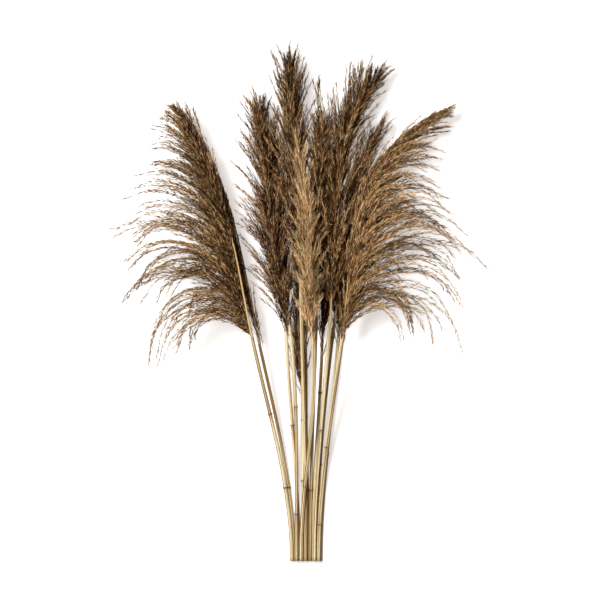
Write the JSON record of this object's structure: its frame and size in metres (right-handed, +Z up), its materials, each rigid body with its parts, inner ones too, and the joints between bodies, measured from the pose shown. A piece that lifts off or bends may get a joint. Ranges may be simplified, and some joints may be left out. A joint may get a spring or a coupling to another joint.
{
  "type": "bundle of dried bamboo grass",
  "caption": "Loose, untied bundle of dried plume grass with jointed straw-coloured canes and feathery brown and golden plumes, lying flat.",
  "frame": {"origin": "centre of the bundle's footprint, on the surface that it lies on", "axes": "+Z up from the surface, +Y along the bundle from the cut ends towards the plume tips, +X to the right seen from above"},
  "size_m": [0.5084, 0.7264, 0.1149],
  "materials": {
    "straw": "dry glossy cane skin",
    "golden": "dry golden tan spikelets",
    "brown": "dry mid brown spikelets",
    "dark": "dry dark brown spikelets"
  },
  "bodies": {
    "root": {"culm_01": "straw", "culm_02": "straw", "culm_03": "straw", "culm_04": "straw", "culm_05": "straw", "culm_06": "straw", "culm_07": "straw", "culm_08": "straw", "culm_09": "straw", "culm_10": "straw", "culm_11": "straw", "culm_12": "straw", "culm_13": "straw", "culm_14": "straw", "plume_01": "golden", "plume_02": "brown", "plume_03": "dark", "plume_04": "dark", "plume_05": "dark", "plume_06": "golden", "plume_07": "brown", "plume_08": "brown", "plume_09": "golden", "plume_10": "dark", "plume_11": "golden", "plume_12": "dark", "plume_13": "brown", "plume_14": "golden"}
  },
  "joints": []
}
